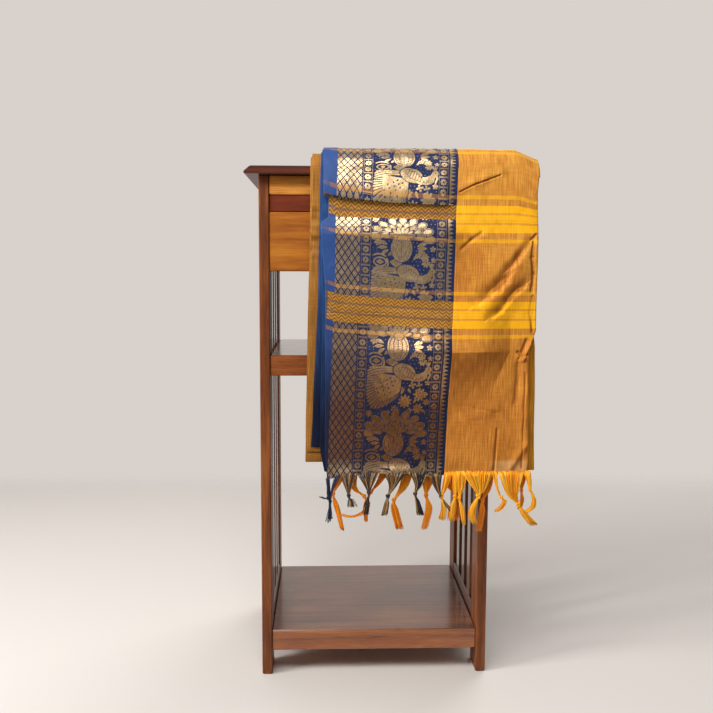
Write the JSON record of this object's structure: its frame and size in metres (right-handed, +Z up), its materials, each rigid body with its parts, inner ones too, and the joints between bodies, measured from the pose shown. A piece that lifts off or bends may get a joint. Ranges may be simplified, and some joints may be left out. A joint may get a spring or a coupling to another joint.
{
  "type": "folded saree on a wooden side table",
  "caption": "Folded silk-cotton saree with a brocade border and knotted fringe, hung front and back over a small slatted wooden side table with shelves.",
  "frame": {"origin": "on the floor, under the middle of the part's bounding box", "axes": "+Z up; the fringed front of the saree faces -Y; +X is the viewer's right, the side of the saree's long fold"},
  "size_m": [0.3936, 0.3396, 0.7329],
  "materials": {
    "dark_wood": "satin varnish",
    "golden_wood": "satin varnish",
    "brown_wood": "satin varnish",
    "brocade_cloth": "silk and cotton with gold thread",
    "mustard_cloth": "silk and cotton",
    "navy_cloth": "silk and cotton",
    "fringe_thread": "loose thread"
  },
  "bodies": {
    "root": {"table_top": "dark_wood", "front_top_rail": "golden_wood", "front_dark_band": "dark_wood", "front_panel": "golden_wood", "back_apron": "brown_wood", "middle_shelf": "brown_wood", "bottom_shelf": "brown_wood", "leg_front_left": "brown_wood", "leg_back_left": "brown_wood", "side_top_rail_left": "brown_wood", "side_bottom_rail_left": "brown_wood", "slat_left_1": "brown_wood", "slat_left_2": "brown_wood", "slat_left_3": "brown_wood", "leg_front_right": "brown_wood", "leg_back_right": "brown_wood", "side_top_rail_right": "brown_wood", "side_bottom_rail_right": "brown_wood", "slat_right_1": "brown_wood", "slat_right_2": "brown_wood", "slat_right_3": "brown_wood", "pallu_face": "brocade_cloth", "pallu_inner_quarters": "mustard_cloth", "next_stretch_border": "navy_cloth", "folded_length": "mustard_cloth", "face_fringe": "fringe_thread", "inner_fringe": "fringe_thread"}
  },
  "joints": []
}
